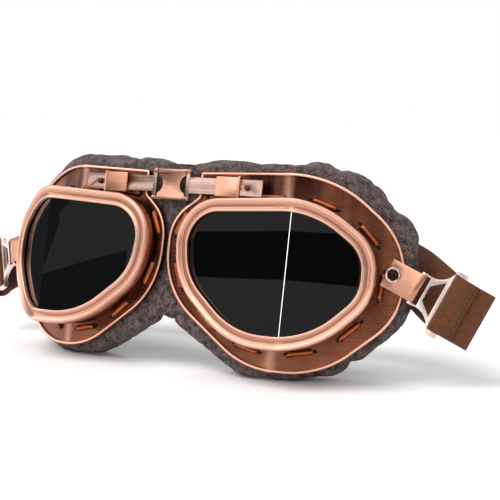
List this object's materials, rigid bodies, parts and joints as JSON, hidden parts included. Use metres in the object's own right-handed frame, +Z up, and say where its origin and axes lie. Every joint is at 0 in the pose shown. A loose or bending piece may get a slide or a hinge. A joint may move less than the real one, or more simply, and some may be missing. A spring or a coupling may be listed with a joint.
{
  "type": "aviator goggles",
  "caption": "Split-lens aviator goggles with copper frames, creased leather pads, folding nose bridge, strap buckles and an elastic strap.",
  "frame": {"origin": "centre of the bounding box at its base, on the floor under the leather pads", "axes": "+X towards the right eyepiece as seen from the front, +Y back towards the wearer's face, +Z up"},
  "size_m": [0.2742, 0.0794, 0.0916],
  "materials": {
    "copper_plate": "brushed, darkened copper",
    "copper_ring": "polished copper",
    "dark_lens": "dark tinted, glossy",
    "seal_rubber": "matt",
    "pad_leather": "creased, satin",
    "bar_metal": "polished, champagne tint",
    "rivet_metal": "polished",
    "sleeve_metal": "polished copper",
    "eyelet_metal": "polished copper",
    "lug_metal": "polished pale copper",
    "buckle_metal": "polished, rose tint",
    "strap_webbing": "woven elastic"
  },
  "bodies": {
    "nose_clip": {"nose_clip": "bar_metal", "strap_band": "strap_webbing", "left_nose_gusset": "pad_leather", "right_nose_gusset": "pad_leather"},
    "right_bar": {"right_bridge_bar": "bar_metal", "right_stop_rivet": "rivet_metal"},
    "right_cup": {"right_frame": "copper_plate", "right_lens_ring": "copper_ring", "right_front_lens": "dark_lens", "right_side_lens": "dark_lens", "right_lens_seal": "seal_rubber", "right_pad": "pad_leather", "right_guide_sleeve": "sleeve_metal", "right_eyelet": "eyelet_metal"},
    "right_lug": {"right_strap_lug": "lug_metal"},
    "right_buckle": {"right_buckle": "buckle_metal", "right_strap_end": "strap_webbing"},
    "left_bar": {"left_bridge_bar": "bar_metal", "left_stop_rivet": "rivet_metal"},
    "left_cup": {"left_frame": "copper_plate", "left_lens_ring": "copper_ring", "left_front_lens": "dark_lens", "left_side_lens": "dark_lens", "left_lens_seal": "seal_rubber", "left_pad": "pad_leather", "left_guide_sleeve": "sleeve_metal", "left_eyelet": "eyelet_metal"},
    "left_lug": {"left_strap_lug": "lug_metal"},
    "left_buckle": {"left_buckle": "buckle_metal", "left_strap_end": "strap_webbing"}
  },
  "joints": [
    {"name": "right_cup_fold", "type": "hinge", "parent": "nose_clip", "child": "right_bar", "pos_m": [0.00865, -0.01959, 0.08048], "axis": [0, 0.1959, 0.9806], "range_deg": [-5, 15], "deforming": ["right_nose_gusset"]},
    {"name": "right_bar_slide", "type": "slide", "parent": "right_bar", "child": "right_cup", "axis": [1, 0, 0], "range_m": [-0.0005, 0.0019]},
    {"name": "right_lug_turn", "type": "hinge", "parent": "right_cup", "child": "right_lug", "pos_m": [0.0979, -0.00102, 0.04567], "axis": [0.3746, -0.9092, 0.1817], "range_deg": [-25, 25]},
    {"name": "right_buckle_swing", "type": "hinge", "parent": "right_lug", "child": "right_buckle", "pos_m": [0.10839, -0.00115, 0.04126], "axis": [-0.3697, -0.3262, -0.87], "range_deg": [-15, 60], "deforming": ["strap_band"]},
    {"name": "left_cup_fold", "type": "hinge", "parent": "nose_clip", "child": "left_bar", "pos_m": [-0.00865, -0.01959, 0.08048], "axis": [0, -0.1959, -0.9806], "range_deg": [-5, 15], "deforming": ["left_nose_gusset"]},
    {"name": "left_bar_slide", "type": "slide", "parent": "left_bar", "child": "left_cup", "axis": [-1, 0, 0], "range_m": [-0.0005, 0.0019]},
    {"name": "left_lug_turn", "type": "hinge", "parent": "left_cup", "child": "left_lug", "pos_m": [-0.0979, -0.00102, 0.04567], "axis": [0.3746, 0.9092, -0.1817], "range_deg": [-25, 25]},
    {"name": "left_buckle_swing", "type": "hinge", "parent": "left_lug", "child": "left_buckle", "pos_m": [-0.10839, -0.00115, 0.04126], "axis": [-0.3697, 0.3262, 0.87], "range_deg": [-15, 60], "deforming": ["strap_band"]}
  ]
}
